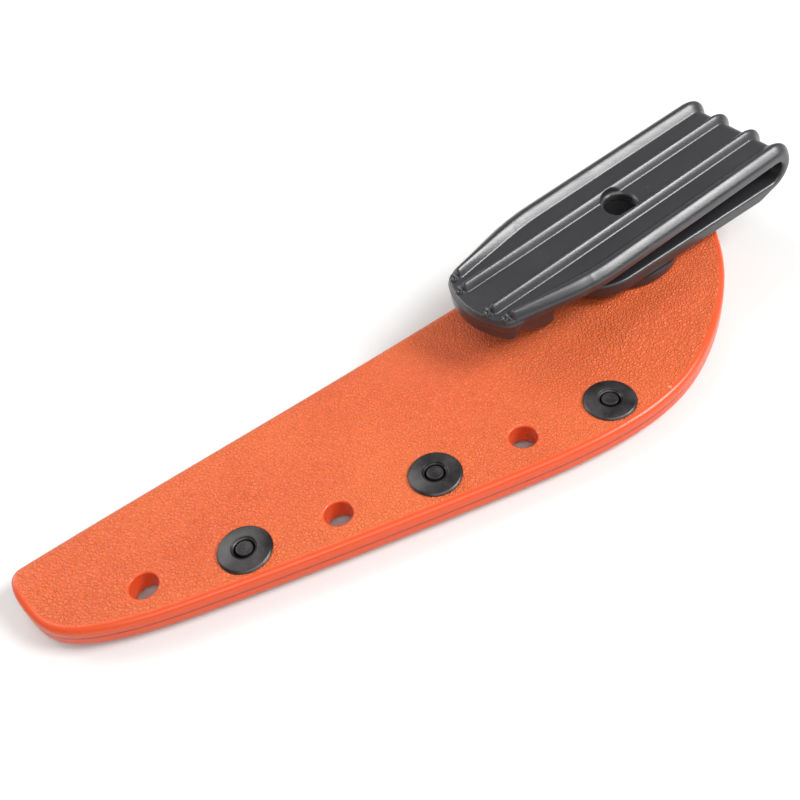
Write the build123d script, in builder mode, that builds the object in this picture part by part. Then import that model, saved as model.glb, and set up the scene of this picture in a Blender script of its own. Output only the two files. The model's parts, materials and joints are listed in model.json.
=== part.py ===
from build123d import *
import os
from math import cos, radians, sin

# Folded thermoplastic knife sheath with a moulded belt clip.
#
# The sheath lies on its back leaf.  +X runs along the row of seam holes, from the
# point of the sheath to its mouth, +Y runs across to the fold and +Z leaves the front
# leaf.  The origin is on the back face, on the axis of the lashing hole by the point.

os.makedirs("parts", exist_ok=True)

# ---------------------------------------------------------------- sheet and seam
SHEET = 2.6  # thickness of the thermoplastic sheet
SEAM_GAP = 0.2  # air left between the two leaves along the seam
SEAM_TOP = 2 * SHEET + SEAM_GAP  # front face of the seam
EDGE_ROUND = 0.9  # polished edges of both leaves

# ---------------------------------------------------------------- fold line
FOLD_START = (-26.4, 17.2)  # where the fold meets the point of the sheath
FOLD_ANGLE = 14.5  # fold against the row of seam holes, degrees
WIDE = 80.0  # sections reach past the widest place of the sheath

# Stations along the fold: distance from the point, outside height of the fold, and
# how far from the fold the front leaf comes down onto the back leaf.
STATIONS = (
    (-8.0, 6.4, 14.0),
    (35.0, 7.2, 22.0),
    (115.0, 7.6, 40.0),
    (165.0, 9.8, 48.0),
    (205.0, 12.0, 52.0),
)

# Lower edge of the sheath, from the point to the top of the mouth.
OUTLINE = (
    (-26.3, 17.8),
    (-27.2, 13.6),
    (-25.7, 6.5),
    (-20.8, -1.6),
    (-9.0, -6.9),
    (12.0, -9.1),
    (45.0, -9.9),
    (80.0, -9.9),
    (110.0, -8.0),
    (128.0, -2.6),
    (146.0, 10.8),
    (159.0, 27.4),
    (165.6, 44.0),
    (167.0, 58.0),
    (165.0, 74.0),
)
BEYOND_FOLD = (-40.0, 30.0)  # closes the outline outside the fold
SPARE = 0.1  # planed off the back
TALL = 40.0

# ---------------------------------------------------------------- seam holes and rivets
LASHING_HOLES = ((0.0, 0.0), (43.7, -1.1), (88.7, 0.0))
RIVET_PLACES = {"tip": (22.3, -1.2), "middle": (66.7, -1.0), "mouth": (110.9, 0.4)}
HOLE_RADIUS = 3.2
RIVET_SHANK = 3.1  # radius of the tube
RIVET_BORE = 2.4
RIVET_FLANGE = 6.2
RIVET_RIM = 0.35  # flange thickness at its rim
RIVET_CROWN = 1.1  # flange thickness at its middle
RIVET_RECESS = 2.9
RECESS_DEPTH = 0.35
ROLLED_LIP = 4.3  # radius of the tube rolled over behind
ROLL_HEIGHT = 0.7
BACK_WASHER = 6.2
BACK_WASHER_THICK = 0.8
STUB_BUTTON = 1.95  # radius of the broken mandrel's button
STUB_HEAD = 3.6
STUB_FIT = 0.02
STUB_SINK = 0.15
STUB_CHAMFER = 0.3
WASHER_ROUND = 0.25

# ---------------------------------------------------------------- belt clip
CLIP_SEAT = (138.0, 44.3, 9.35)  # foot of the clip screw on the front leaf
CLIP_ALONG = (0.961, 0.271, 0.054)  # from the free end of the clip to its bend
CLIP_UP = (-0.035, -0.074, 0.997)
DISC_RADIUS = 15.4
DISC_THICK = 2.2
INDEX_TEETH = 24
LEG_THICK = 3.7  # leg that is screwed down
ARM_INSIDE = 12.2  # inner face of the springing arm, above the seat
ARM_FLOOR = 14.65  # bottom of the channels between the ribs
ARM_CREST = 16.5  # top of the ribs
HALF_WIDTH = 16.4
LIP_HALF_WIDTH = 11.2
KNEE = -24.0  # where the arm starts to narrow
LIP_END = -50.2
LIP_SAG = 3.6  # bow of the free end, seen from above
LIP_BOTTOM = 8.6
TOOTH_BOTTOM = 1.8
TOOTH_HALF_WIDTH = 9.5
BEND_CENTRE = 39.2
LEG_END_CENTRE = -9.4
LEG_END_RADIUS = 14.2
RIB_ROWS = ((13.9, 2.5), (5.1, 1.9))  # place across the arm and half width of each pair
RIB_START = -46.5
CHANNEL_START = 1.0  # width of the side channels at the lip
DIMPLE_RADIUS = 0.9
DIMPLE_DEPTH = 0.5
ACCESS_RADIUS = 4.0
SPLIT_GAP = 0.06  # air where the moulding is divided at its bend
SPLIT_LEVEL = 9.2
LAND_MARGIN = 0.4  # flat land on the sheath, wider than the disc
LAND_CUT = 6.0
INDEX_RING = 10.0
INDEX_LENGTH = 6.0
INDEX_WIDTH = 0.7
INDEX_DEPTH = 0.4
CHANNEL_RUNOUT = 4.0  # channels run out under the leg
PAST_LIP = -52.0  # cutting outlines reach past the free end and past the bend
PAST_BEND = 50.0
TOOTH_RAMP = -45.0  # the lip's underside turns down into the tooth
TOOTH_FRONT = -34.2
TOOTH_BACK = -30.8
LIP_RAMP = 2.0
OVERLAP = 0.5  # depth by which the lip and the tooth are sunk into the arm
DIMPLE_PLACE = (-48.0, 5.1)

# ---------------------------------------------------------------- clip screw
SCREW_RADIUS = 2.0
SCREW_CLEARANCE = 0.08
THREAD_FIT = 0.03
FIT = 0.05
SCREW_HEAD_RADIUS = 3.7
SCREW_HEAD = 1.8
WASHER_RADIUS = 3.9
WASHER_THICK = 0.5
COUNTERBORE_RADIUS = 4.15  # pocket in the leg that sinks the head
COUNTERBORE_DEPTH = 2.5
NUT_BARREL = 2.9
NUT_FLANGE = 6.5
NUT_FLANGE_THICK = 0.8
NUT_SEAT = 2.5  # depth of the flange's upper face under the clip's seat
SCREW_HEAD_ROUND = 0.6
HEX_RADIUS = 1.45
HEX_DEPTH = 1.4
WASHER_TEETH = 12
WASHER_NOTCH = 0.7

fold_along = Vector(cos(radians(FOLD_ANGLE)), sin(radians(FOLD_ANGLE)), 0)
fold_across = Vector(sin(radians(FOLD_ANGLE)), -cos(radians(FOLD_ANGLE)), 0)
clip_plane = Plane(origin=CLIP_SEAT, x_dir=CLIP_ALONG, z_dir=CLIP_UP)
side_plane = Plane(origin=CLIP_SEAT, x_dir=clip_plane.x_dir, z_dir=-clip_plane.y_dir)
LEG_TOP = DISC_THICK + LEG_THICK
HEAD_SEAT = LEG_TOP - COUNTERBORE_DEPTH + FIT / 2  # the washer lies here, in the pocket
OUTER_RADIUS = (ARM_CREST - DISC_THICK) / 2
BEND_MIDDLE = (ARM_CREST + DISC_THICK) / 2
SIDE_RIB, MIDDLE_RIB = RIB_ROWS
MIDDLE_CHANNEL = MIDDLE_RIB[0] - MIDDLE_RIB[1]
SIDE_CHANNEL_IN = MIDDLE_RIB[0] + MIDDLE_RIB[1]
SIDE_CHANNEL_OUT = SIDE_RIB[0] - SIDE_RIB[1]


def station_plane(distance):
    """Plane square to the fold: x runs from the fold to the seam, y is up."""
    corner = Vector(*FOLD_START, 0) + fold_along * distance
    return Plane(origin=corner, x_dir=fold_across, z_dir=-fold_along)


def leaf_section(distance, height, landing, inset, foot):
    """Outline of the folded sheet across the fold, or of its inside when inset."""
    middle = height / 2
    top = height - inset
    seam = SEAM_TOP - inset
    with BuildSketch(station_plane(distance)) as section:
        with BuildLine():
            back = Line((middle, foot), (WIDE, foot))
            end = Line(back @ 1, (WIDE, seam))
            flat = Line(end @ 1, (landing, seam))
            crown = Spline(flat @ 1, (middle, top), tangents=((-1, 0), (-1, 0.04)))
            ThreePointArc(crown @ 1, (inset, middle), back @ 0)
        make_face()
    return section.sketch.face()


# ---------------------------------------------------------------- folded sheath
with BuildPart() as sheath:
    loft(sections=[leaf_section(*station, 0, -SPARE) for station in STATIONS])
    # the trim also planes the back flat
    with BuildSketch(Plane.XY):
        with BuildLine():
            foot = Spline(*OUTLINE)
            Polyline(foot @ 1, BEYOND_FOLD, foot @ 0)
        make_face()
    extrude(amount=TALL, mode=Mode.INTERSECT)
    wall = sheath.faces().filter_by(GeomType.EXTRUSION)
    rims = wall.edges().filter_by(lambda edge: edge.bounding_box().size.Z < SHEET or edge.length > WIDE)
    fillet(rims, EDGE_ROUND)
    # the inside of the fold, and the fine gap that shows as the seam line
    loft(sections=[leaf_section(*station, SHEET, SHEET) for station in STATIONS], mode=Mode.SUBTRACT)
    with Locations(*LASHING_HOLES, *RIVET_PLACES.values()):
        Hole(HOLE_RADIUS)
    # flat land under the index disc, and the seat of the tee nut on the inside
    with BuildSketch(clip_plane):
        Circle(DISC_RADIUS + LAND_MARGIN)
    extrude(amount=LAND_CUT, mode=Mode.SUBTRACT)
    with BuildSketch(clip_plane):
        Circle(NUT_BARREL + FIT)
    extrude(amount=-NUT_SEAT - NUT_FLANGE_THICK, mode=Mode.SUBTRACT)
    with BuildSketch(clip_plane.offset(-NUT_SEAT)):
        Circle(NUT_FLANGE + FIT)
    extrude(amount=-NUT_FLANGE_THICK, mode=Mode.SUBTRACT)
sheath.part.label = "sheath_shell"
export_step(sheath.part, "parts/sheath_shell.step")


# ---------------------------------------------------------------- seam rivets
def rivet_shell(spot):
    """Flanged tube: low cone in front, rolled over its washer behind."""
    crown = SEAM_TOP + RIVET_CROWN
    roll_top = -BACK_WASHER_THICK
    roll_foot = roll_top - ROLL_HEIGHT
    with BuildPart() as shell:
        with BuildSketch(Plane.XZ):
            with BuildLine():
                Polyline(
                    (RIVET_BORE, roll_foot),
                    (ROLLED_LIP - ROLL_HEIGHT / 2, roll_foot),
                    (ROLLED_LIP, roll_foot + ROLL_HEIGHT / 2),
                    (ROLLED_LIP, roll_top),
                    (RIVET_SHANK, roll_top),
                    (RIVET_SHANK, SEAM_TOP),
                    (RIVET_FLANGE, SEAM_TOP),
                    (RIVET_FLANGE, SEAM_TOP + RIVET_RIM),
                    (RIVET_RECESS, crown),
                    (RIVET_RECESS, crown - RECESS_DEPTH),
                    (RIVET_BORE, crown - RECESS_DEPTH),
                    close=True,
                )
            make_face()
        revolve(axis=Axis.Z)
    return shell.part.moved(Location((*spot, 0)))


def rivet_washer(spot):
    """Plain washer between the back leaf and the rolled end of the tube."""
    with BuildPart() as washer:
        with BuildSketch():
            Circle(BACK_WASHER)
            Circle(RIVET_SHANK + FIT, mode=Mode.SUBTRACT)
        extrude(amount=-BACK_WASHER_THICK)
        fillet(washer.faces().sort_by(Axis.Z)[0].edges().sort_by(SortBy.RADIUS)[-1], WASHER_ROUND)
    return washer.part.moved(Location((*spot, 0)))


def rivet_stub(spot):
    """What is left of the mandrel: its head in the tube and its broken button."""
    head_foot = -BACK_WASHER_THICK
    with BuildPart() as stub:
        with BuildSketch(Plane.XY.offset(head_foot)):
            Circle(RIVET_BORE - STUB_FIT)
        extrude(amount=STUB_HEAD)
        with BuildSketch(Plane.XY.offset(head_foot + STUB_HEAD)):
            Circle(STUB_BUTTON)
        extrude(amount=SEAM_TOP + RIVET_CROWN - STUB_SINK - head_foot - STUB_HEAD)
        chamfer(stub.faces().sort_by(Axis.Z)[-1].edges(), STUB_CHAMFER)
    return stub.part.moved(Location((*spot, 0)))


for name, spot in RIVET_PLACES.items():
    for kind, make in (("shell", rivet_shell), ("washer", rivet_washer), ("stub", rivet_stub)):
        piece = make(spot)
        piece.label = f"rivet_{kind}_{name}"
        export_step(piece, f"parts/rivet_{kind}_{name}.step")

# ---------------------------------------------------------------- clip mounting stack
with BuildPart() as disc:
    with BuildSketch(clip_plane):
        Circle(DISC_RADIUS)
        Circle(SCREW_RADIUS + SCREW_CLEARANCE, mode=Mode.SUBTRACT)
    extrude(amount=DISC_THICK - FIT / 2)
    with BuildSketch(clip_plane.offset(DISC_THICK)):
        with PolarLocations(INDEX_RING, INDEX_TEETH):
            Rectangle(INDEX_LENGTH, INDEX_WIDTH)
    extrude(amount=-INDEX_DEPTH, mode=Mode.SUBTRACT)
disc.part.label = "index_disc"
export_step(disc.part, "parts/index_disc.step")

with BuildPart() as nut:
    with BuildSketch(clip_plane.offset(-NUT_SEAT - NUT_FLANGE_THICK)):
        Circle(NUT_FLANGE)
    extrude(amount=NUT_FLANGE_THICK)
    with BuildSketch(clip_plane.offset(-NUT_SEAT)):
        Circle(NUT_BARREL)
    extrude(amount=NUT_SEAT)
    with BuildSketch(clip_plane):
        Circle(SCREW_RADIUS + THREAD_FIT)
    extrude(amount=-NUT_SEAT - NUT_FLANGE_THICK, mode=Mode.SUBTRACT)
nut.part.label = "tee_nut"
export_step(nut.part, "parts/tee_nut.step")

with BuildPart() as washer:
    with BuildSketch(clip_plane.offset(HEAD_SEAT)):
        Circle(WASHER_RADIUS)
        Circle(SCREW_RADIUS + SCREW_CLEARANCE, mode=Mode.SUBTRACT)
        with PolarLocations(WASHER_RADIUS, WASHER_TEETH):
            Rectangle(WASHER_NOTCH, WASHER_NOTCH, mode=Mode.SUBTRACT)
    extrude(amount=WASHER_THICK)
washer.part.label = "lock_washer"
export_step(washer.part, "parts/lock_washer.step")

with BuildPart() as screw:
    with BuildSketch(clip_plane.offset(-NUT_SEAT - NUT_FLANGE_THICK)):
        Circle(SCREW_RADIUS)
    extrude(amount=NUT_SEAT + NUT_FLANGE_THICK + HEAD_SEAT + WASHER_THICK)
    with BuildSketch(clip_plane.offset(HEAD_SEAT + WASHER_THICK)):
        Circle(SCREW_HEAD_RADIUS)
    extrude(amount=SCREW_HEAD)
    head_top = screw.faces().sort_by(lambda face: clip_plane.to_local_coords(face.center()).Z)[-1]
    fillet(head_top.edges(), SCREW_HEAD_ROUND)
    with BuildSketch(clip_plane.offset(HEAD_SEAT + WASHER_THICK + SCREW_HEAD)):
        RegularPolygon(HEX_RADIUS, 6)
    extrude(amount=-HEX_DEPTH, mode=Mode.SUBTRACT)
screw.part.label = "clip_screw"
export_step(screw.part, "parts/clip_screw.step")


# ---------------------------------------------------------------- belt clip
def clip_profile(channel_depth):
    """Side view of both legs and the bend, down to the rib crests or the channel floors."""
    floor = ARM_CREST - channel_depth
    foot = DISC_THICK + channel_depth
    with BuildSketch(side_plane) as profile:
        with BuildLine():
            outer = ThreePointArc(
                (BEND_CENTRE, floor),
                (BEND_CENTRE + OUTER_RADIUS - channel_depth, BEND_MIDDLE),
                (BEND_CENTRE, foot),
            )
            lower = Polyline(
                outer @ 1,
                (BEND_CENTRE - CHANNEL_RUNOUT, DISC_THICK),
                (PAST_LIP, DISC_THICK),
                (PAST_LIP, LEG_TOP),
                (BEND_CENTRE, LEG_TOP),
            )
            inner = ThreePointArc(
                lower @ 1,
                (BEND_CENTRE + (ARM_INSIDE - LEG_TOP) / 2, (ARM_INSIDE + LEG_TOP) / 2),
                (BEND_CENTRE, ARM_INSIDE),
            )
            Polyline(inner @ 1, (PAST_LIP, ARM_INSIDE), (PAST_LIP, floor), outer @ 0)
        make_face()
    return profile.sketch


def arm_plan():
    """Springing arm seen from above: parallel to the knees, then tapered to a bowed lip."""
    lip_corner = LIP_END + LIP_SAG
    with BuildSketch(clip_plane) as plan:
        with BuildLine():
            lip = ThreePointArc(
                (lip_corner, -LIP_HALF_WIDTH), (LIP_END, 0), (lip_corner, LIP_HALF_WIDTH)
            )
            Polyline(
                lip @ 1,
                (KNEE, HALF_WIDTH),
                (PAST_BEND, HALF_WIDTH),
                (PAST_BEND, -HALF_WIDTH),
                (KNEE, -HALF_WIDTH),
                lip @ 0,
            )
        make_face()
    return plan.sketch


with BuildPart() as channels:
    with BuildSketch(clip_plane):
        with BuildLine():
            Polyline(
                (PAST_LIP, -LIP_HALF_WIDTH - 1),
                (PAST_LIP, LIP_HALF_WIDTH + 1),
                (RIB_START, LIP_HALF_WIDTH + 1),
                (RIB_START, -LIP_HALF_WIDTH - 1),
                close=True,
            )
        make_face()
        with Locations(((PAST_BEND + RIB_START) / 2, 0)):
            Rectangle(PAST_BEND - RIB_START, 2 * MIDDLE_CHANNEL)
        for side in (1, -1):
            with BuildLine():
                Polyline(
                    (RIB_START, side * SIDE_CHANNEL_IN),
                    (RIB_START, side * (SIDE_CHANNEL_IN + CHANNEL_START)),
                    (KNEE, side * SIDE_CHANNEL_OUT),
                    (PAST_BEND, side * SIDE_CHANNEL_OUT),
                    (PAST_BEND, side * SIDE_CHANNEL_IN),
                    close=True,
                )
            make_face()
    extrude(amount=ARM_CREST + 1)
    extrude(clip_profile(ARM_CREST - ARM_FLOOR), amount=HALF_WIDTH + 1, both=True, mode=Mode.SUBTRACT)
    with BuildSketch(side_plane):
        with Locations(((PAST_LIP + BEND_CENTRE) / 2, (ARM_INSIDE + LEG_TOP) / 2)):
            Rectangle(BEND_CENTRE - PAST_LIP, ARM_INSIDE - LEG_TOP)
    extrude(amount=HALF_WIDTH + 1, both=True, mode=Mode.SUBTRACT)

with BuildPart() as arm:
    extrude(clip_profile(0), amount=HALF_WIDTH, both=True)
    with BuildSketch(side_plane):
        with Locations((0, SPLIT_LEVEL + SPLIT_GAP / 2)):
            Rectangle(4 * PAST_BEND, ARM_CREST, align=(Align.CENTER, Align.MIN))
    extrude(amount=HALF_WIDTH, both=True, mode=Mode.INTERSECT)
    # deep lip at the free end
    with BuildSketch(side_plane):
        Polygon(
            (PAST_LIP, LIP_BOTTOM),
            (TOOTH_RAMP, LIP_BOTTOM),
            (TOOTH_RAMP + LIP_RAMP, ARM_INSIDE + OVERLAP),
            (PAST_LIP, ARM_INSIDE + OVERLAP),
            align=None,
        )
    extrude(amount=HALF_WIDTH, both=True)
    extrude(arm_plan(), amount=ARM_CREST + 1, mode=Mode.INTERSECT)
    add(channels.part, mode=Mode.SUBTRACT)
    # tooth that hooks under the belt
    with BuildSketch(side_plane):
        Polygon(
            (TOOTH_RAMP, LIP_BOTTOM),
            (TOOTH_FRONT, TOOTH_BOTTOM),
            (TOOTH_BACK, TOOTH_BOTTOM),
            (TOOTH_BACK, ARM_INSIDE + OVERLAP),
            (TOOTH_RAMP, ARM_INSIDE + OVERLAP),
            align=None,
        )
    extrude(amount=TOOTH_HALF_WIDTH, both=True)
    with BuildSketch(clip_plane.offset(ARM_INSIDE - 1)):
        Circle(ACCESS_RADIUS)
    extrude(amount=ARM_CREST, mode=Mode.SUBTRACT)
    with BuildSketch(clip_plane.offset(ARM_FLOOR)):
        with Locations(*[(DIMPLE_PLACE[0], side * DIMPLE_PLACE[1]) for side in (1, -1)]):
            Circle(DIMPLE_RADIUS)
    extrude(amount=-DIMPLE_DEPTH, mode=Mode.SUBTRACT)
arm.part.label = "clip_arm"
export_step(arm.part, "parts/clip_arm.step")

with BuildPart() as leg:
    extrude(clip_profile(0), amount=HALF_WIDTH, both=True)
    with BuildSketch(side_plane):
        with Locations((0, SPLIT_LEVEL - SPLIT_GAP / 2)):
            Rectangle(4 * PAST_BEND, ARM_CREST, align=(Align.CENTER, Align.MAX))
    extrude(amount=HALF_WIDTH, both=True, mode=Mode.INTERSECT)
    with BuildSketch(clip_plane):
        with BuildLine():
            end = ThreePointArc(
                (LEG_END_CENTRE, -LEG_END_RADIUS),
                (LEG_END_CENTRE - LEG_END_RADIUS, 0),
                (LEG_END_CENTRE, LEG_END_RADIUS),
            )
            Polyline(
                end @ 1,
                (BEND_CENTRE, HALF_WIDTH),
                (PAST_BEND, HALF_WIDTH),
                (PAST_BEND, -HALF_WIDTH),
                (BEND_CENTRE, -HALF_WIDTH),
                end @ 0,
            )
        make_face()
    extrude(amount=ARM_CREST, mode=Mode.INTERSECT)
    add(channels.part, mode=Mode.SUBTRACT)
    with BuildSketch(clip_plane):
        Circle(SCREW_RADIUS + SCREW_CLEARANCE)
    extrude(amount=ARM_CREST, mode=Mode.SUBTRACT)
    with BuildSketch(clip_plane.offset(LEG_TOP)):
        Circle(COUNTERBORE_RADIUS)
    extrude(amount=-COUNTERBORE_DEPTH, mode=Mode.SUBTRACT)
leg.part.label = "clip_leg"
export_step(leg.part, "parts/clip_leg.step")
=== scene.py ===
"""Looks of a folded thermoplastic knife sheath with a ribbed belt clip.

The sheath and the clip are built as smooth distance fields in millimetres and meshed; the
rivets are turned profiles.  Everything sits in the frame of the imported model, in metres.
"""

import json
import math

import bpy
import numpy as np
from mathutils import Matrix, Vector


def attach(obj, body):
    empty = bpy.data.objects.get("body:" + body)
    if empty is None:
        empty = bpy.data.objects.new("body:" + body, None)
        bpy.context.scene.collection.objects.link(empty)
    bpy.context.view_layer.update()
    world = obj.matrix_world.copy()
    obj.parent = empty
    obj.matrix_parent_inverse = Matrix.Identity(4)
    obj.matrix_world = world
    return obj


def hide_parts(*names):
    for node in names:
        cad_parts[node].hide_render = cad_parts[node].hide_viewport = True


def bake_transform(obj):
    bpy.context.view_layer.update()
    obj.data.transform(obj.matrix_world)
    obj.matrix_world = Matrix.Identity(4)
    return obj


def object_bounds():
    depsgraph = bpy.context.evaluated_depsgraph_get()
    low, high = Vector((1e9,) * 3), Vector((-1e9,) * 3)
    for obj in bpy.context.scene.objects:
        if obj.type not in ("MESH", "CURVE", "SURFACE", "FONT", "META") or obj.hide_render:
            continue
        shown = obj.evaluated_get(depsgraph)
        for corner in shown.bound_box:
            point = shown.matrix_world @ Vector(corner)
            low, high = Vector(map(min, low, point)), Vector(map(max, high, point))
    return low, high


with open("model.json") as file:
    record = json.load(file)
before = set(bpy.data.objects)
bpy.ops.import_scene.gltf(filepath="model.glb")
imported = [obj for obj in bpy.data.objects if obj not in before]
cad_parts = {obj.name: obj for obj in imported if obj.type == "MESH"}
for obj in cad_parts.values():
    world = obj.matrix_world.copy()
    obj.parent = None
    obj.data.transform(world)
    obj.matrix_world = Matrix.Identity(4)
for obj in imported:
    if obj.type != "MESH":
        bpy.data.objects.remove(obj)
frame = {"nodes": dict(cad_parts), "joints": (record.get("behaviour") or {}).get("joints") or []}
cad_low, cad_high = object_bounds()

MM = 0.001
record_joints = {joint["name"]: joint for joint in frame["joints"]}

# ---------------------------------------------------------------- sizes, millimetres
SHEET = 2.6
SEAM_TOP = 5.4
FOLD_START = np.array((-26.4, 17.2))
FOLD_ANGLE = math.radians(14.5)
# distance along the fold, outside height of the fold, where the front leaf lands
STATIONS = np.array(((-8, 6.4, 14), (35, 7.2, 22), (115, 7.6, 40), (165, 9.8, 48), (205, 12.0, 52)))
OUTLINE = np.array((
    (-26.3, 17.8), (-27.2, 13.6), (-25.7, 6.5), (-20.8, -1.6), (-9.0, -6.9),
    (12.0, -9.1), (45.0, -9.9), (80.0, -9.9), (110.0, -8.0), (128.0, -2.6),
    (146.0, 10.8), (159.0, 27.4), (165.6, 44.0), (167.0, 58.0), (165.0, 74.0),
))
LASHING_HOLES = ((0.0, 0.0), (43.7, -1.1), (88.7, 0.0))
RIVETS = {"tip": (22.3, -1.2), "middle": (66.7, -1.0), "mouth": (110.9, 0.4)}
RIVET_TUBE = 3.1
RIVET_BORE = 2.4
RIVET_CROWN = 6.5
RIVET_RECESS = 2.9
RIVET_FOOT = -1.5
WASHER_FOOT = -0.8
STUB_TOP = 6.35
STUB_BUTTON = 1.95
HOLE_RADIUS = 3.2
FRONT_ROUND = 1.5
BACK_ROUND = 0.9
INNER_ROUND = 0.35
WELD = 0.2  # the leaves overlap this much in the mesh, so the seam is one closed groove

BEND = 39.2
BEND_MIDDLE = 9.05
INSIDE_RADIUS = 3.15
LEG_THICK = 3.7
ARM_THICK = 4.3
CHANNEL = 1.85
HALF_WIDTH = 16.4
LIP_HALF_WIDTH = 11.2
KNEE = -24.0
LIP_END = -50.2
LIP_SAG = 3.6
LIP_FROM = -31.0  # the lip's bow counts from here to the free end
OUTER_EDGE = 0.55  # rounding of the strip's outer edges
INNER_EDGE = 0.7
FAR_INSIDE = -50.0  # field values that never reach the surface
FAR_OUTSIDE = 5.0
LEG_FIRST = -40.0  # no part of the leg is nearer to the free end
LIP_RADIUS = 19.2
LIP_BOTTOM = 8.6
NOSE_BACK = 45.2  # the lip's inner face, from the screw
DEEP_TOP = 13.0  # the lip and the tooth end inside the arm
TOOTH_BOTTOM = 1.8
TOOTH_BACK = 30.8
TOOTH_FRONT = -46.5
TOOTH_HALF_WIDTH = 9.5
RAMP_SLOPE = (-0.533, -0.846)  # the tooth's slanting front
RIB_END = -46.9
INNER_RIBS = 5.1
INNER_RIB_HALF = 1.9
OUTER_RIB_HALF = 2.55
OUTER_FROM = 7.4  # the outer ribs lie beyond this
OUTER_SHORTER = 2.0
END_SLOPE = 0.45
RIB_END_MARKS = ((-48.3, 5.1), (-48.3, -5.1), (-46.5, 9.3), (-46.5, -9.3))
LEG_END = -9.4
LEG_END_RADIUS = 14.2
LEG_SPREAD = 2.2
ACCESS_RADIUS = 4.0
ACCESS_CHAMFER = 0.7
CHAMFER_FROM = 14.1
COUNTERBORE = 4.15
HEAD_SEAT = 3.4
SCREW_BORE = 2.08

LAND_RADIUS = 15.8
NUT_BARREL = 2.95
NUT_BARREL_REACH = 3.3
NUT_POCKET = 6.55
NUT_POCKET_DEPTH = 2.9
NUT_POCKET_HALF = 0.4


# ---------------------------------------------------------------- field helpers
def smooth_step(value, start, end):
    t = np.clip((value - start) / (end - start), 0, 1)
    return t * t * (3 - 2 * t)


def round_join(a, b, radius):
    """Intersection of two fields, its edge rounded to a radius."""
    outside = np.hypot(np.maximum(a + radius, 0), np.maximum(b + radius, 0))
    return np.minimum(np.maximum(a, b), -radius) + outside


def soft_union(a, b, reach):
    h = np.maximum(reach - np.abs(a - b), 0) / reach
    return np.minimum(a, b) - h * h * reach / 4


def surface_net(field, low, step):
    """Vertices and quads of the zero surface of a field sampled on a grid."""
    cells = np.array(field.shape) - 1
    total = np.zeros((*cells, 3), np.float32)
    count = np.zeros(cells, np.uint8)
    crossings = []
    for axis in range(3):
        others = [other for other in range(3) if other != axis]
        head = [slice(None)] * 3
        tail = [slice(None)] * 3
        head[axis] = slice(0, -1)
        tail[axis] = slice(1, None)
        first = field[tuple(head)]
        second = field[tuple(tail)]
        crossed = (first < 0) != (second < 0)
        share = np.where(crossed, first / np.where(crossed, first - second, 1), 0)
        crossings.append((axis, others, crossed, first < 0))
        for da in (0, 1):
            for db in (0, 1):
                view = [slice(None)] * 3
                view[others[0]] = slice(da, da + cells[others[0]])
                view[others[1]] = slice(db, db + cells[others[1]])
                here = crossed[tuple(view)]
                total[..., axis] += share[tuple(view)]
                total[..., others[0]] += da * here
                total[..., others[1]] += db * here
                count += here.astype(np.uint8)
    active = count > 0
    index = np.full(cells, -1, np.int64)
    index[active] = np.arange(active.sum())
    vertices = low + step * (np.argwhere(active) + total[active] / count[active][:, None])
    quads = []
    for axis, others, crossed, starts_inside in crossings:
        a, b = others
        inner = [slice(None)] * 3
        inner[a] = slice(1, -1)
        inner[b] = slice(1, -1)
        inner = tuple(inner)
        where = np.argwhere(crossed[inner])
        where[:, a] += 1
        where[:, b] += 1
        ring = []
        for da, db in ((1, 1), (0, 1), (0, 0), (1, 0)):
            cell = where.copy()
            cell[:, a] -= da
            cell[:, b] -= db
            ring.append(index[tuple(cell.T)])
        ring = np.stack(ring, 1)
        outward = starts_inside[inner][crossed[inner]]
        if axis == 1:
            outward = ~outward
        ring[~outward] = ring[~outward][:, ::-1]
        quads.append(ring)
    return vertices, np.concatenate(quads)


def settle(vertices, field, rounds=2, reach=0.02):
    """Pulls the vertices onto the field's exact surface."""
    for _ in range(rounds):
        value = field(*vertices.T)
        slope = np.stack([
            (field(*(vertices + offset).T) - field(*(vertices - offset).T)) / (2 * reach)
            for offset in np.eye(3) * reach
        ], 1)
        size = np.maximum((slope ** 2).sum(1), 0.25)
        vertices = vertices - np.clip(value / size, -0.15, 0.15)[:, None] * slope
    return vertices


def mesh_object(name, vertices, quads):
    mesh = bpy.data.meshes.new(name)
    mesh.vertices.add(len(vertices))
    mesh.vertices.foreach_set("co", np.ascontiguousarray(vertices, np.float32).ravel())
    mesh.loops.add(quads.size)
    mesh.loops.foreach_set("vertex_index", quads.ravel().astype(np.int32))
    mesh.polygons.add(len(quads))
    mesh.polygons.foreach_set("loop_start", np.arange(len(quads), dtype=np.int32) * quads.shape[1])
    mesh.polygons.foreach_set("use_smooth", np.ones(len(quads), bool))
    mesh.update(calc_edges=True)
    mesh.validate()
    made = bpy.data.objects.new(name, mesh)
    bpy.context.scene.collection.objects.link(made)
    return made


def paint(made, name, values):
    """Stores one number per vertex for the materials to read."""
    attribute = made.data.attributes.new(name, "FLOAT", "POINT")
    attribute.data.foreach_set("value", np.asarray(values, np.float32))


def grid(low, high, step):
    axes = [np.arange(low[i], high[i] + step[i], step[i], dtype=np.float32) for i in range(3)]
    return np.meshgrid(*axes, indexing="ij")


# ---------------------------------------------------------------- clip frame
seat = np.array(record_joints["clip_swivel"]["pos_m"]) / MM
clip_up = np.array(record_joints["clip_swivel"]["axis"])
clip_side = np.array(record_joints["clip_flex"]["axis"])
clip_along = np.cross(clip_side, clip_up)
clip_axes = np.stack([clip_along, clip_side, clip_up])


def to_clip(x, y, z):
    return [
        (x - seat[0]) * axis[0] + (y - seat[1]) * axis[1] + (z - seat[2]) * axis[2]
        for axis in clip_axes
    ]


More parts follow.
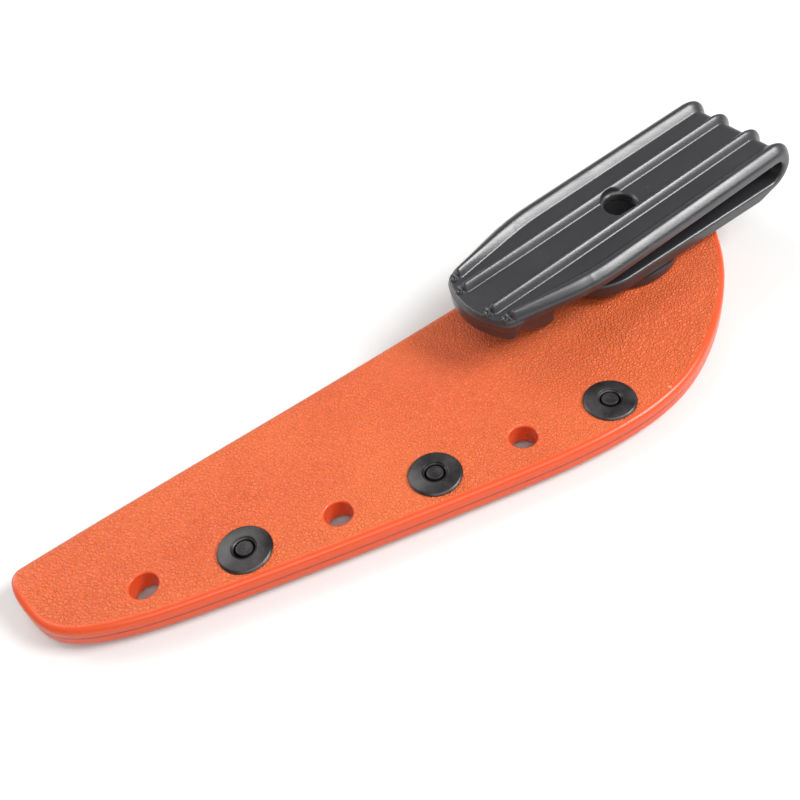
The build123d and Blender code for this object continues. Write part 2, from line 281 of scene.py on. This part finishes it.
# ---------------------------------------------------------------- sheath field
def natural_spline(points, samples):
    """Smooth curve through the points, with chord lengths as its parameter."""
    knots = np.concatenate([[0], np.cumsum(np.hypot(*np.diff(points, axis=0).T))])
    gaps = np.diff(knots)
    count = len(points)
    system = np.eye(count)
    right = np.zeros((count, 2))
    for i in range(1, count - 1):
        system[i, i - 1:i + 2] = gaps[i - 1], 2 * (gaps[i - 1] + gaps[i]), gaps[i]
        right[i] = 6 * ((points[i + 1] - points[i]) / gaps[i] - (points[i] - points[i - 1]) / gaps[i - 1])
    bend = np.linalg.solve(system, right)
    t = np.linspace(0, knots[-1], samples)
    i = np.clip(np.searchsorted(knots, t) - 1, 0, count - 2)
    gap = gaps[i][:, None]
    after = (t - knots[i])[:, None]
    before = gap - after
    return (
        (bend[i] * before ** 3 + bend[i + 1] * after ** 3) / (6 * gap)
        + (points[i] / gap - bend[i] * gap / 6) * before
        + (points[i + 1] / gap - bend[i + 1] * gap / 6) * after
    )


edge_curve = natural_spline(OUTLINE, 900)


def outline_distance(x, y):
    """Distance to the trimmed edge, negative on the sheath."""
    points = np.stack([x.ravel(), y.ravel()], 1)
    found = np.empty(len(points), np.float32)
    start, direction = edge_curve[:-1], np.diff(edge_curve, axis=0)
    length = (direction ** 2).sum(1)
    for begin in range(0, len(points), 4000):
        block = points[begin:begin + 4000]
        offset = block[:, None] - start[None]
        share = np.clip((offset * direction).sum(2) / length, 0, 1)
        away = offset - share[..., None] * direction
        squared = (away ** 2).sum(2)
        nearest = squared.argmin(1)
        rows = np.arange(len(block))
        way = direction[nearest]
        side = way[:, 0] * offset[rows, nearest, 1] - way[:, 1] * offset[rows, nearest, 0]
        found[begin:begin + 4000] = np.sqrt(squared[rows, nearest]) * -np.sign(side)
    return found.reshape(x.shape)


PLAN_LOW = np.array((-30.0, -13.0))
PLAN_STEP = 0.5
plan_x, plan_y = np.meshgrid(
    np.arange(PLAN_LOW[0], 171, PLAN_STEP), np.arange(PLAN_LOW[1], 80, PLAN_STEP), indexing="ij"
)
plan_table = outline_distance(plan_x, plan_y)


def look_up(x, y):
    """Outline distance read from its table, between the samples."""
    u = np.clip((x - PLAN_LOW[0]) / PLAN_STEP, 0, plan_table.shape[0] - 1.001)
    v = np.clip((y - PLAN_LOW[1]) / PLAN_STEP, 0, plan_table.shape[1] - 1.001)
    i, j = u.astype(int), v.astype(int)
    a, b = u - i, v - j
    return (
        plan_table[i, j] * (1 - a) * (1 - b)
        + plan_table[i + 1, j] * a * (1 - b)
        + plan_table[i, j + 1] * (1 - a) * b
        + plan_table[i + 1, j + 1] * a * b
    )


height_fit = np.polyfit(STATIONS[:, 0], STATIONS[:, 1], 4)
landing_fit = np.polyfit(STATIONS[:, 0], STATIONS[:, 2], 4)


def mound(x, y, centre, along, across, angle):
    """Soft bump of height one."""
    c, s = math.cos(angle), math.sin(angle)
    u = ((x - centre[0]) * c + (y - centre[1]) * s) / along
    v = ((y - centre[1]) * c - (x - centre[0]) * s) / across
    return np.exp(-u * u - v * v)


def fold_place(x, y):
    """Distance along the fold and away from it."""
    c, s = math.cos(FOLD_ANGLE), math.sin(FOLD_ANGLE)
    dx, dy = x - FOLD_START[0], y - FOLD_START[1]
    return dx * c + dy * s, dx * s - dy * c


# shallow waves of the front leaf round the clip: rise, place, half length, half breadth, degrees
WAVES = (
    (1.3, (137.0, 20.7), 24.0, 6.5, 17.0),
    (-0.9, (114.3, 29.0), 11.0, 5.5, -62.0),
    (-0.28, (129.3, 6.0), 8.0, 4.5, -77.0),
)


def front_height(x, y):
    """Outside height of the front leaf."""
    along, away = fold_place(x, y)
    tall = np.polyval(height_fit, along)
    lands = np.polyval(landing_fit, along)
    climb = smooth_step(lands - away, 0, lands - tall / 2 + 1e-6)
    top = SEAM_TOP + (tall - SEAM_TOP) * climb
    for rise, spot, length, breadth, angle in WAVES:
        top = top + rise * mound(x, y, spot, length, breadth, math.radians(angle))
    return top


def hole_distance(x, y):
    nearest = np.full(np.shape(x), 1e3)
    for hole in (*LASHING_HOLES, *RIVETS.values()):
        nearest = np.minimum(nearest, np.hypot(x - hole[0], y - hole[1]) - HOLE_RADIUS)
    return nearest


def sheath_field(x, y, z):
    along, away = fold_place(x, y)
    half = np.polyval(height_fit, along) / 2
    edge = look_up(x, y)
    hole = -hole_distance(x, y)
    at_hole = hole > edge
    trim = np.maximum(edge, hole)
    top = front_height(x, y)
    front_round = np.where(at_hole, 0.55, FRONT_ROUND)
    back_round = np.where(at_hole, 0.4, BACK_ROUND)
    inner_round = np.where(at_hole, 0.05, INNER_ROUND)
    front = np.maximum(
        round_join(z - top, trim, front_round),
        round_join(top - SHEET - WELD - z, trim, inner_round),
    )
    back = np.maximum(
        round_join(-z, trim, back_round),
        round_join(z - SHEET - WELD, trim, inner_round),
    )
    spin = np.hypot(away - half, z - half)
    fold_round = back_round + (front_round - back_round) * smooth_step(z, 0, 2 * half)
    fold = np.maximum(
        round_join(spin - half, trim, fold_round),
        round_join(half - SHEET - spin, trim, inner_round),
    )
    shell = np.where(away > half, np.minimum(front, back), fold)
    # land under the disc, and the hole and pocket of the tee nut
    s, v, w = to_clip(x, y, z)
    radius = np.hypot(s, v)
    land = np.maximum(radius - LAND_RADIUS, -w)
    barrel = np.maximum(radius - NUT_BARREL, np.abs(w) - NUT_BARREL_REACH)
    pocket = np.maximum(radius - NUT_POCKET, np.abs(w + NUT_POCKET_DEPTH) - NUT_POCKET_HALF)
    return np.maximum(shell, -np.minimum(np.minimum(land, barrel), pocket))


# ---------------------------------------------------------------- clip field
def roof(across):
    """Rounded ridge: one at the middle, falling evenly to nought at one and minus one."""
    blunt = 0.42
    return 1 - (np.sqrt(across ** 2 + blunt ** 2) - blunt) / (math.sqrt(1 + blunt ** 2) - blunt)


def rib_shape(s, v):
    """Height share of the four ribs, from 0 in a channel to 1 on a crest."""
    side = np.abs(v)
    width = arm_half_width(s)
    narrow = smooth_step(-s, -KNEE, -LIP_END)
    outer_half = OUTER_RIB_HALF - 0.95 * narrow
    outer = roof((side - (width - outer_half)) / outer_half)
    inner = roof((side - INNER_RIBS) / (INNER_RIB_HALF - 0.2 * narrow))
    share = np.clip(np.maximum(outer, inner), 0, 1)
    ends = RIB_END + OUTER_SHORTER * (side > OUTER_FROM)
    return share * smooth_step(s, ends - END_SLOPE, ends + END_SLOPE)


def arm_half_width(s):
    slope = (HALF_WIDTH - LIP_HALF_WIDTH) / (KNEE - (LIP_END + LIP_SAG))
    straight = HALF_WIDTH - np.maximum(KNEE - s, 0) * slope
    return straight - 0.35 * np.exp(-((s - KNEE) / 3.0) ** 2)


def clip_field(s, v, w):
    radius = np.hypot(s - BEND, w - BEND_MIDDLE)
    upper = w > BEND_MIDDLE
    rising = 0.5 + 0.5 * (w - BEND_MIDDLE) / np.maximum(radius, 0.5)
    on_arm = np.where(s < BEND, upper.astype(float), np.clip(rising, 0, 1))
    depth = np.where(s < BEND, np.abs(w - BEND_MIDDLE), radius) - INSIDE_RADIUS
    thick = LEG_THICK + (ARM_THICK - LEG_THICK) * on_arm
    lasting = np.where(upper, 1.0, smooth_step(s, BEND - 4.5, BEND + 1.0))
    thick = thick - CHANNEL * lasting * (1 - rib_shape(s, v))
    leg_width = LEG_END_RADIUS + LEG_SPREAD * np.clip((s - LEG_END) / (BEND - LEG_END), 0, 1)
    leg_round = np.hypot(s - LEG_END, v) - LEG_END_RADIUS
    leg_plan = np.where(s < LEG_END, leg_round, np.abs(v) - leg_width)
    lip = np.hypot(s - LIP_END - LIP_RADIUS, v) - LIP_RADIUS
    arm_plan = round_join(np.abs(v) - arm_half_width(s), np.where(s < LIP_FROM, lip, FAR_INSIDE), 0.9)
    plan = np.where((s < BEND) & ~upper, leg_plan, arm_plan)
    strip = np.maximum(
        round_join(depth - thick, plan, OUTER_EDGE),
        round_join(-depth, plan, INNER_EDGE),
    )
    strip = np.where(~upper & (s < LEG_FIRST), FAR_OUTSIDE, strip)
    # deep lip and the tooth behind it
    inner_face = s + NOSE_BACK - 0.35 * (w - LIP_BOTTOM)
    nose = round_join(round_join(arm_plan, LIP_BOTTOM - w, 0.7), inner_face, 0.5)
    nose = np.maximum(nose, w - DEEP_TOP)
    ramp = RAMP_SLOPE[0] * (s + 45) + RAMP_SLOPE[1] * (w - LIP_BOTTOM)
    hook = round_join(round_join(ramp, TOOTH_BOTTOM - w, 0.8), s + TOOTH_BACK, 0.8)
    tooth_side = np.abs(v) - TOOTH_HALF_WIDTH + 0.05 * (12 - w)
    hook = np.maximum(round_join(hook, tooth_side, 0.8), w - DEEP_TOP)
    hook = np.maximum(hook, TOOTH_FRONT - s)
    body = soft_union(strip, nose, 1.2)
    body = soft_union(body, hook, 1.0)
    # access hole with a chamfer
    hole = np.hypot(s, v) - ACCESS_RADIUS - np.clip(w - CHAMFER_FROM, 0, ACCESS_CHAMFER)
    body = np.where(upper, round_join(body, -hole, 0.18), body)
    # pocket of the screw head and the screw's hole in the leg
    sunk = np.maximum(np.hypot(s, v) - COUNTERBORE, HEAD_SEAT - w)
    bore = np.hypot(s, v) - SCREW_BORE
    return np.where(upper, body, np.maximum(body, -np.minimum(sunk, bore)))


# ---------------------------------------------------------------- turned profiles
def turned_net(profile, spot, segments):
    """Vertices and quads of a closed profile turned round an upright axis."""
    profile = np.array(profile, float)
    angles = np.arange(segments) * 2 * math.pi / segments
    radius, height = profile[:, 0], profile[:, 1]
    x = spot[0] + radius[:, None] * np.cos(angles)
    y = spot[1] + radius[:, None] * np.sin(angles)
    z = np.repeat(height[:, None], segments, 1)
    vertices = np.stack([x, y, z], 2).reshape(-1, 3)
    row = np.arange(len(profile))[:, None] * segments
    column = np.arange(segments)
    following = (column + 1) % segments
    below = np.roll(row, -1, 0)
    quads = np.stack([row + column, below + column, below + following, row + following], 2)
    return vertices, quads.reshape(-1, 4)[:, ::-1]


def lathe(name, profile, spot, segments=96):
    vertices, quads = turned_net(profile, spot, segments)
    return mesh_object(name, vertices * MM, quads)


def arc(centre, radius, start, end, steps=8):
    turn = np.radians(np.linspace(start, end, steps))
    return [(centre[0] + radius * math.cos(t), centre[1] + radius * math.sin(t)) for t in turn]


def rivet_shell_profile():
    """Cone flange with a rounded rim and a recess, and a tube rolled over behind."""
    rim = arc((6.0, 5.6), 0.2, -90, 70)
    slope = []
    for radius in np.linspace(5.9, 3.3, 12):
        beyond = radius - RIVET_RECESS
        slope.append((radius, RIVET_CROWN - 0.035 * beyond ** 1.75 - 0.05 * beyond))
    lip = arc((3.05, 6.3), 0.2, 60, 180)
    inside = [(2.85, 6.17), (2.42, 6.1), (RIVET_BORE, 6.0), (RIVET_BORE, -1.2), (2.7, RIVET_FOOT)]
    roll = arc((3.35, -0.85), 0.65, 250, 360, 10)
    back = [(4.0, WASHER_FOOT), (RIVET_TUBE, WASHER_FOOT)]
    return [(RIVET_TUBE, SEAM_TOP), *rim, *slope, *lip, *inside, *roll, *back]


def rivet_washer_profile():
    upper_edge = arc((6.0, -0.2), 0.2, 90, 0)
    lower_edge = arc((5.9, -0.5), 0.3, 0, -90)
    return [(3.15, 0), (6.1, 0), *upper_edge, *lower_edge, (3.2, WASHER_FOOT)]


def rib_end_profile():
    """Small raised ring round a pit, at the end of a rib."""
    pit = [(0.02, 14.3), (0.02, 14.72), (0.35, 14.75), (0.5, 15.02)]
    ring = arc((0.66, 15.0), 0.16, 150, 0, 6)
    return [*pit, *ring, (0.9, 14.8), (1.0, 14.3)]


def rivet_stub_profile():
    """Broken mandrel: a wide head in the tube and a button with an uneven end."""
    head = [(0.02, WASHER_FOOT), (2.38, WASHER_FOOT), (2.38, 2.7)]
    button = [(STUB_BUTTON, 2.9), (STUB_BUTTON, STUB_TOP - 0.5)]
    edge = arc((1.65, STUB_TOP - 0.3), 0.3, 0, 80, 5)
    end = [(1.2, STUB_TOP + 0.02), (0.9, STUB_TOP - 0.12), (0.45, STUB_TOP - 0.05), (0.02, STUB_TOP - 0.1)]
    return [*head, *button, *edge, *end]


# ---------------------------------------------------------------- materials
def new_material(name):
    made = bpy.data.materials.new(name)
    made.use_nodes = True
    nodes = made.node_tree.nodes
    return made, nodes, made.node_tree.links, nodes["Principled BSDF"]


def add_node(nodes, kind, **values):
    node = nodes.new(kind)
    for key, value in values.items():
        if key in node.inputs:
            node.inputs[key].default_value = value
        else:
            setattr(node, key, value)
    return node


def spread(nodes, links, value, start, end, low=0.0, high=1.0):
    node = add_node(nodes, "ShaderNodeMapRange")
    for key, number in (("From Min", start), ("From Max", end), ("To Min", low), ("To Max", high)):
        node.inputs[key].default_value = number
    links.new(value, node.inputs["Value"])
    return node.outputs["Result"]


def mixed(nodes, links, share, first, second):
    node = nodes.new("ShaderNodeMix")
    node.data_type = "RGBA"
    for socket, value in ((node.inputs[6], first), (node.inputs[7], second)):
        if isinstance(value, tuple):
            socket.default_value = (*value, 1)
        else:
            links.new(value, socket)
    links.new(share, node.inputs["Factor"])
    return node.outputs[2]


def maths(nodes, links, operation, first, second):
    node = nodes.new("ShaderNodeMath")
    node.operation = operation
    for socket, value in zip(node.inputs, (first, second)):
        if isinstance(value, (int, float)):
            socket.default_value = value
        else:
            links.new(value, socket)
    return node.outputs[0]


def noise(nodes, links, place, scale, detail=3.0, rough=0.55):
    node = add_node(nodes, "ShaderNodeTexNoise", Scale=scale, Detail=detail, Roughness=rough)
    links.new(place, node.inputs["Vector"])
    return node.outputs[0]


def orange_sheet():
    """Thermoplastic sheet: fine leather grain, edges polished smooth, faint handling marks."""
    made, nodes, links, shader = new_material("orange_sheet")
    place = nodes.new("ShaderNodeTexCoord").outputs["Object"]
    polish = add_node(nodes, "ShaderNodeAttribute", attribute_name="polish").outputs["Fac"]
    seam = add_node(nodes, "ShaderNodeAttribute", attribute_name="seam").outputs["Fac"]
    grained = maths(nodes, links, "SUBTRACT", 1.0, polish)
    warp = add_node(nodes, "ShaderNodeTexNoise", Scale=900.0, Detail=2.0)
    links.new(place, warp.inputs["Vector"])
    shift = nodes.new("ShaderNodeVectorMath")
    shift.operation = "SCALE"
    shift.inputs["Scale"].default_value = 0.0007
    links.new(warp.outputs["Color"], shift.inputs[0])
    moved = nodes.new("ShaderNodeVectorMath")
    links.new(place, moved.inputs[0])
    links.new(shift.outputs[0], moved.inputs[1])
    cells = add_node(nodes, "ShaderNodeTexVoronoi", Scale=1250.0, feature="DISTANCE_TO_EDGE")
    links.new(moved.outputs[0], cells.inputs["Vector"])
    pebble = spread(nodes, links, cells.outputs["Distance"], 0.0, 0.26)
    creases = noise(nodes, links, place, 760.0, 2.0)
    height = maths(nodes, links, "ADD", pebble, maths(nodes, links, "MULTIPLY", creases, 0.5))
    bump = add_node(nodes, "ShaderNodeBump", Distance=0.00023)
    links.new(maths(nodes, links, "MULTIPLY", grained, 0.85), bump.inputs["Strength"])
    links.new(height, bump.inputs["Height"])
    links.new(bump.outputs[0], shader.inputs["Normal"])
    patches = noise(nodes, links, place, 28.0, 4.0)
    ground = mixed(nodes, links, spread(nodes, links, patches, 0.35, 0.65),
                   (0.715, 0.118, 0.027), (0.780, 0.150, 0.036))
    # painted shade: the low creases between the grain's pebbles are darkened towards deep red
    grain_crease_shade = spread(nodes, links, pebble, 0.45, 0.0)
    grain_crease_shade = maths(nodes, links, "MULTIPLY", grain_crease_shade, maths(nodes, links, "MULTIPLY", grained, 0.35))
    ground = mixed(nodes, links, grain_crease_shade, ground, (0.62, 0.055, 0.014))
    ground = mixed(nodes, links, polish, ground, (0.700, 0.082, 0.018))
    specks = noise(nodes, links, place, 340.0, 1.0)
    specked = spread(nodes, links, specks, 0.80, 0.84, 0.0, 0.35)
    ground = mixed(nodes, links, specked, ground, (0.95, 0.55, 0.35))
    ground = mixed(nodes, links, seam, ground, (0.20, 0.012, 0.004))
    links.new(ground, shader.inputs["Base Color"])
    rough = maths(nodes, links, "ADD", spread(nodes, links, patches, 0.3, 0.7, 0.47, 0.55),
                  maths(nodes, links, "MULTIPLY", polish, -0.22))
    links.new(rough, shader.inputs["Roughness"])
    shader.inputs["Subsurface Weight"].default_value = 0.06
    shader.inputs["Subsurface Radius"].default_value = (0.0015, 0.0004, 0.0002)
    return made


def black_moulding():
    """Moulded nylon: satin skin, fine speckle, long scuffs and rubbed crests."""
    made, nodes, links, shader = new_material("black_moulding")
    place = nodes.new("ShaderNodeTexCoord").outputs["Object"]
    crest = add_node(nodes, "ShaderNodeAttribute", attribute_name="crest").outputs["Fac"]
    grain = noise(nodes, links, place, 2600.0, 2.0)
    ripple = noise(nodes, links, place, 160.0, 3.0)
    stretch = add_node(nodes, "ShaderNodeMapping", vector_type="POINT")
    stretch.inputs["Rotation"].default_value = (0.0, 0.0, -0.275)
    stretch.inputs["Scale"].default_value = (90.0, 2400.0, 900.0)
    links.new(place, stretch.inputs["Vector"])
    streaks = noise(nodes, links, stretch.outputs[0], 1.0, 3.0, 0.7)
    height = maths(nodes, links, "ADD", grain, maths(nodes, links, "MULTIPLY", ripple, 1.2))
    height = maths(nodes, links, "ADD", height, maths(nodes, links, "MULTIPLY", streaks, 0.5))
    bump = add_node(nodes, "ShaderNodeBump", Strength=0.16, Distance=0.00012)
    links.new(height, bump.inputs["Height"])
    links.new(bump.outputs[0], shader.inputs["Normal"])
    patches = noise(nodes, links, place, 60.0, 5.0)
    colour = mixed(nodes, links, patches, (0.016, 0.016, 0.019), (0.030, 0.030, 0.034))
    specks = noise(nodes, links, place, 1500.0, 1.0)
    specked = spread(nodes, links, specks, 0.74, 0.80, 0.0, 0.5)
    colour = mixed(nodes, links, specked, colour, (0.14, 0.14, 0.15))
    rubbed = maths(nodes, links, "MULTIPLY", spread(nodes, links, streaks, 0.56, 0.72), crest)
    colour = mixed(nodes, links, maths(nodes, links, "MULTIPLY", rubbed, 0.45), colour, (0.10, 0.10, 0.105))
    links.new(colour, shader.inputs["Base Color"])
    rough = maths(nodes, links, "ADD", spread(nodes, links, patches, 0.3, 0.7, 0.30, 0.40),
                  maths(nodes, links, "MULTIPLY", rubbed, 0.12))
    links.new(rough, shader.inputs["Roughness"])
    shader.inputs["Specular IOR Level"].default_value = 0.7
    shader.inputs["Coat Weight"].default_value = 0.25
    shader.inputs["Coat Roughness"].default_value = 0.28
    return made


def dark_metal(name, base, worn, roughness, wear_scale=700.0, metallic=0.75):
    """Blackened or plated metal with scuffs."""
    made, nodes, links, shader = new_material(name)
    place = nodes.new("ShaderNodeTexCoord").outputs["Object"]
    scuffs = noise(nodes, links, place, wear_scale, 5.0, 0.7)
    clouds = noise(nodes, links, place, 190.0, 4.0)
    colour = mixed(nodes, links, spread(nodes, links, clouds, 0.35, 0.7, 0.0, 0.5), base, worn)
    colour = mixed(nodes, links, spread(nodes, links, scuffs, 0.62, 0.72, 0.0, 0.55), colour, worn)
    links.new(colour, shader.inputs["Base Color"])
    links.new(spread(nodes, links, clouds, 0.3, 0.7, roughness - 0.06, roughness + 0.1),
              shader.inputs["Roughness"])
    bump = add_node(nodes, "ShaderNodeBump", Strength=0.25, Distance=0.00008)
    links.new(scuffs, bump.inputs["Height"])
    links.new(bump.outputs[0], shader.inputs["Normal"])
    shader.inputs["Metallic"].default_value = metallic
    return made


sheet_material = orange_sheet()
clip_material = black_moulding()
rivet_material = dark_metal("rivet_black", (0.040, 0.037, 0.038), (0.16, 0.15, 0.15), 0.36)
stub_material = dark_metal("stub_black", (0.030, 0.028, 0.028), (0.13, 0.12, 0.12), 0.5, 1600.0)
screw_material = dark_metal("screw_black", (0.018, 0.018, 0.019), (0.08, 0.08, 0.08), 0.4)
nut_material = dark_metal("nut_zinc", (0.42, 0.42, 0.43), (0.60, 0.60, 0.58), 0.38, 900.0, 1.0)


def dress(piece, material, slot, body, *stands_for):
    piece.data.materials.clear()
    piece.data.materials.append(material)
    if body:
        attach(piece, body)
    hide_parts(*stands_for)


# ---------------------------------------------------------------- sheath shell
sheath_step = np.array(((0.45, 0.45, 0.25)))
sheath_low = np.array((-29.0, -12.0, -0.8))
sheath_high = np.array((169.0, 70.0, 12.8))
field = sheath_field(*grid(sheath_low, sheath_high, sheath_step)).astype(np.float32)
vertices, quads = surface_net(field, sheath_low, sheath_step)
vertices = settle(vertices, sheath_field)
sheath = mesh_object("sheath_body", vertices * MM, quads)
vx, vy, vz = vertices.T
trim = np.maximum(look_up(vx, vy), -hole_distance(vx, vy) - 1.2)
inside_wall = (vz > SHEET - 0.3) & (vz < front_height(vx, vy) - SHEET + 0.3) & (trim < -1.5)
paint(sheath, "polish", np.clip(smooth_step(trim, -1.9, -1.3) + 0.8 * inside_wall, 0, 1))
paint(sheath, "seam", 0.85 * np.exp(-((vz - SHEET - 0.1) / 0.17) ** 2) * (look_up(vx, vy) > -1.0)
      * (front_height(vx, vy) < SEAM_TOP + 0.6))
dress(sheath, sheet_material, "sheath_polymer", "sheath", "sheath_shell")

# ---------------------------------------------------------------- clip
clip_step = np.full(3, 0.3)
clip_low = np.array((-51.5, -17.5, 0.8))
clip_high = np.array((47.5, 17.5, 17.6))
field = clip_field(*grid(clip_low, clip_high, clip_step)).astype(np.float32)
vertices, quads = surface_net(field, clip_low, clip_step)
vertices = settle(vertices, clip_field)
for spot in RIB_END_MARKS:
    ring, ring_quads = turned_net(rib_end_profile(), spot, 40)
    quads = np.concatenate([quads, ring_quads + len(vertices)])
    vertices = np.concatenate([vertices, ring])
s, v, w = vertices.T
clip = mesh_object("belt_clip", (vertices @ clip_axes + seat) * MM, quads)
paint(clip, "crest", smooth_step(w, 14.9, 16.3) + (np.abs(v) > 15.5))
dress(clip, clip_material, "clip_polymer", None, "clip_leg", "clip_arm")
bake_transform(clip)

# ---------------------------------------------------------------- rivets
for name, spot in RIVETS.items():
    dress(lathe(f"rivet_body_{name}", rivet_shell_profile(), spot), rivet_material,
          "rivet_black", "sheath", f"rivet_shell_{name}")
    dress(lathe(f"rivet_backing_{name}", rivet_washer_profile(), spot), rivet_material,
          "rivet_black", "sheath", f"rivet_washer_{name}")
    dress(lathe(f"rivet_core_{name}", rivet_stub_profile(), spot), stub_material,
          "stub_black", "sheath", f"rivet_stub_{name}")

# ---------------------------------------------------------------- CAD pieces that stay
for node, material in (("index_disc", clip_material), ("clip_screw", screw_material),
                       ("lock_washer", screw_material), ("tee_nut", nut_material)):
    kept = frame["nodes"][node]
    kept.data.materials.clear()
    kept.data.materials.append(material)

# ---------------------------------------------------------------- floor and light
floor_material, nodes, links, shader = new_material("floor_paper")
shader.inputs["Base Color"].default_value = (0.80, 0.80, 0.79, 1)
shader.inputs["Roughness"].default_value = 0.9
FLOOR_HALF = 3.0
corners = [(x * FLOOR_HALF, y * FLOOR_HALF) for x, y in ((-1, -1), (1, -1), (1, 1), (-1, 1))]
floor_level = cad_low.z - 0.0001
floor = mesh_object("floor", np.array([(x, y, floor_level) for x, y in corners]), np.array([[0, 1, 2, 3]]))
floor.data.materials.append(floor_material)

centre = (cad_low + cad_high) / 2


def softbox(name, place, size, power, colour=(1, 1, 1)):
    light = bpy.data.lights.new(name, "AREA")
    light.shape = "RECTANGLE"
    light.size, light.size_y = size
    light.energy = power
    light.color = colour
    made = bpy.data.objects.new(name, light)
    made.location = centre + Vector(place)
    made.rotation_mode = "QUATERNION"
    made.rotation_quaternion = (centre - made.location).to_track_quat("-Z", "Y")
    bpy.context.scene.collection.objects.link(made)


softbox("fill", (-0.05, -0.60, 0.70), (0.8, 0.5), 3.5)
softbox("key", (0.63, -0.28, 0.63), (0.42, 0.36), 8.0)
softbox("back", (-0.30, 0.55, 0.70), (0.7, 0.4), 3.0)
softbox("rim", (-0.60, 0.55, 0.30), (0.5, 0.2), 1.8)

world = bpy.data.worlds.new("studio")
world.use_nodes = True
world.node_tree.nodes["Background"].inputs["Color"].default_value = (1.0, 1.0, 1.0, 1)
world.node_tree.nodes["Background"].inputs["Strength"].default_value = 0.30
bpy.context.scene.world = world
bpy.context.scene.view_settings.view_transform = "Standard"

# ---------------------------------------------------------------- camera
camera_data = bpy.data.cameras.new("camera")
camera_data.sensor_width = 36.0
camera_data.lens = 42.79
camera_data.clip_start = 0.01
camera_data.clip_end = 20.0
camera = bpy.data.objects.new("camera", camera_data)
CAMERA_PLACE = Vector((0.033207, -0.130653, 0.168858))
CAMERA_RIGHT = Vector((0.9247, -0.3543, -0.1394))
CAMERA_UP = Vector((0.3490, 0.6424, 0.6823))
CAMERA_BACK = Vector((-0.1522, -0.6795, 0.7177))
turned = Matrix((CAMERA_RIGHT, CAMERA_UP, CAMERA_BACK)).transposed()
camera.matrix_world = Matrix.Translation(CAMERA_PLACE) @ turned.to_4x4()
bpy.context.scene.collection.objects.link(camera)
bpy.context.scene.camera = camera
